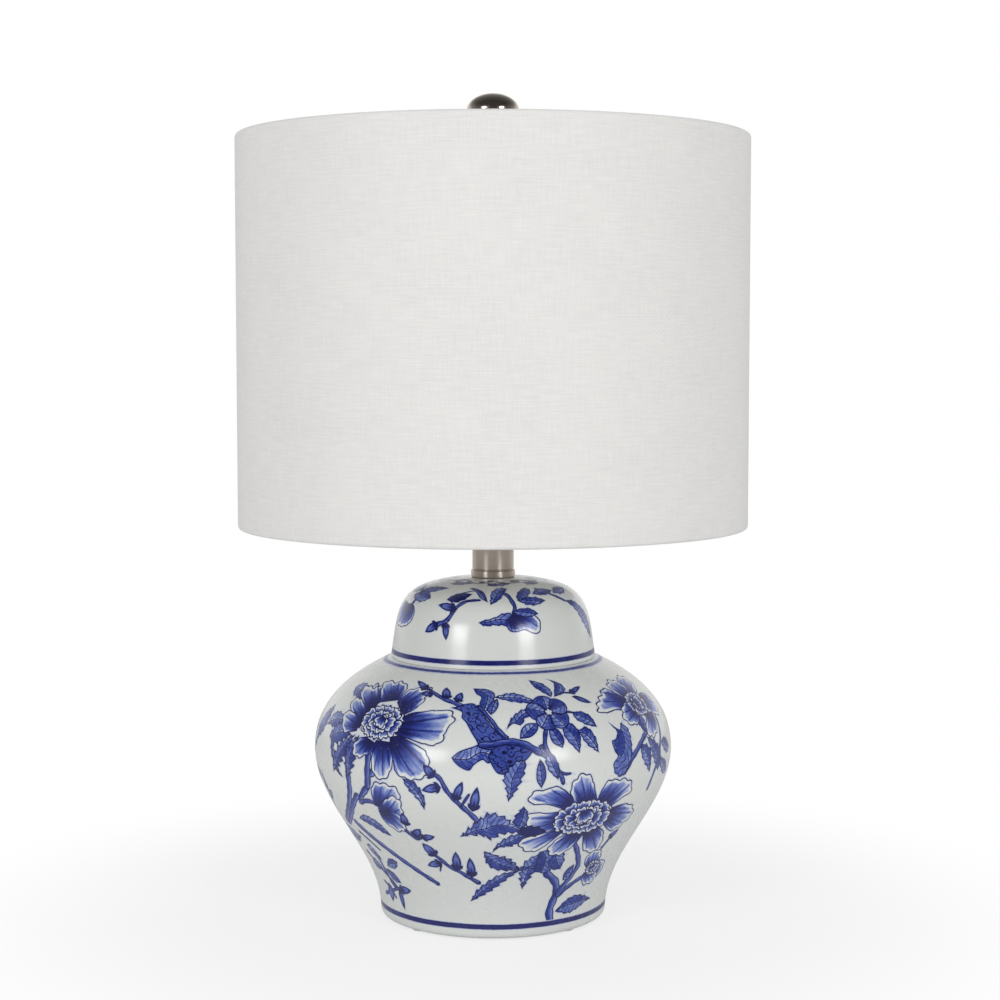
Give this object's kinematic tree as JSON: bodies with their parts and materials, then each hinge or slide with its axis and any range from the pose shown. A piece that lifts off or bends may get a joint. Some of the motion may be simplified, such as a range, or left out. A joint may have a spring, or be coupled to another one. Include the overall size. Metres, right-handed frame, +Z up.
{
  "type": "ginger jar lamp",
  "caption": "Blue and white ginger jar table lamp with a lidded ceramic base, nickel neck, harp, drum shade and knob finial.",
  "frame": {"origin": "where the jar's axis meets the surface the lamp stands on", "axes": "+Z up along the axis of the lamp, -Y to the front of the lamp, +X to the right of a person who faces its front"},
  "size_m": [0.3302, 0.3302, 0.5336],
  "materials": {
    "felt": "needled felt",
    "glazed_jar": "glossy glaze over cobalt blue brush painting",
    "glazed_lid": "glossy glaze over cobalt blue brush painting",
    "black_plastic": "moulded, satin",
    "steel": "zinc plated",
    "rubber": "matt",
    "nickel": "brushed nickel plate",
    "nickel_wire": "satin nickel plate",
    "socket_metal": "nickel plated sheet",
    "fibre": "vulcanised fibre",
    "contact_metal": "bright",
    "solder": "dull tin",
    "black_glass": "glossy dark glass",
    "bulb_metal": "rolled thread",
    "frosted_glass": "soft white frost",
    "linen": "plain woven linen with slubs",
    "styrene": "satin white sheet",
    "white_wire": "white powder coat"
  },
  "bodies": {
    "lamp_base": {"foot_pads": "felt", "foot_ring": "glazed_jar", "jar_body": "glazed_jar", "jar_lid": "glazed_lid", "cord_bushing": "black_plastic", "lamp_rod": "steel", "bottom_nut": "steel", "lock_washer": "steel", "steel_washer": "steel", "rubber_washer": "rubber", "neck_collar": "nickel", "neck_tube": "nickel", "tube_cap": "nickel", "harp_saddle": "nickel_wire", "saddle_nut": "steel", "socket_cap": "socket_metal", "socket_shell": "socket_metal", "socket_liner": "fibre", "switch_block": "black_plastic", "screw_shell": "contact_metal", "centre_contact": "contact_metal"},
    "switch": {"switch_knob": "black_plastic"},
    "bulb_tip": {"bulb_contact": "solder"},
    "bulb": {"bulb_insulator": "black_glass", "bulb_cap": "bulb_metal", "bulb_glass": "frosted_glass"},
    "harp_frame": {"harp": "nickel_wire"},
    "left_ferrule": {"ferrule_left": "nickel_wire"},
    "right_ferrule": {"ferrule_right": "nickel_wire"},
    "shade": {"harp_stud": "nickel_wire", "shade_fabric": "linen", "shade_liner": "styrene", "shade_spider": "white_wire", "shade_bottom_ring": "white_wire"},
    "finial_thread": {"finial_insert": "contact_metal"},
    "finial": {"finial_base": "nickel", "finial_knob": "nickel"}
  },
  "joints": [
    {"name": "switch_turn", "type": "hinge", "parent": "lamp_base", "child": "switch", "pos_m": [0, -0.02, 0.2965], "axis": [0, -1, 0], "continuous": true},
    {"name": "bulb_climb", "type": "slide", "parent": "lamp_base", "child": "bulb_tip", "axis": [0, 0, 1], "range_m": [0, 0.01814]},
    {"name": "bulb_turn", "type": "hinge", "parent": "bulb_tip", "child": "bulb", "pos_m": [0, 0, 0.32], "axis": [0, 0, 1], "range_deg": [0, 1800]},
    {"name": "harp_lift", "type": "slide", "parent": "lamp_base", "child": "harp_frame", "axis": [0, 0, 1], "range_m": [0, 0.03]},
    {"name": "left_ferrule_lift", "type": "slide", "parent": "harp_frame", "child": "left_ferrule", "axis": [0, 0, 1], "range_m": [0, 0.014]},
    {"name": "right_ferrule_lift", "type": "slide", "parent": "harp_frame", "child": "right_ferrule", "axis": [0, 0, 1], "range_m": [0, 0.014]},
    {"name": "shade_turn", "type": "hinge", "parent": "harp_frame", "child": "shade", "pos_m": [0, 0, 0.49], "axis": [0, 0, 1], "continuous": true},
    {"name": "finial_climb", "type": "slide", "parent": "shade", "child": "finial_thread", "axis": [0, 0, 1], "range_m": [0, 0.0094]},
    {"name": "finial_turn", "type": "hinge", "parent": "finial_thread", "child": "finial", "pos_m": [0, 0, 0.5], "axis": [0, 0, 1], "range_deg": [0, 3600]}
  ],
  "couplings": [
    {"joint": "bulb_turn", "follows": "bulb_climb", "rad_per_m": 1731.4},
    {"joint": "finial_turn", "follows": "finial_climb", "rad_per_m": 6679.3}
  ]
}
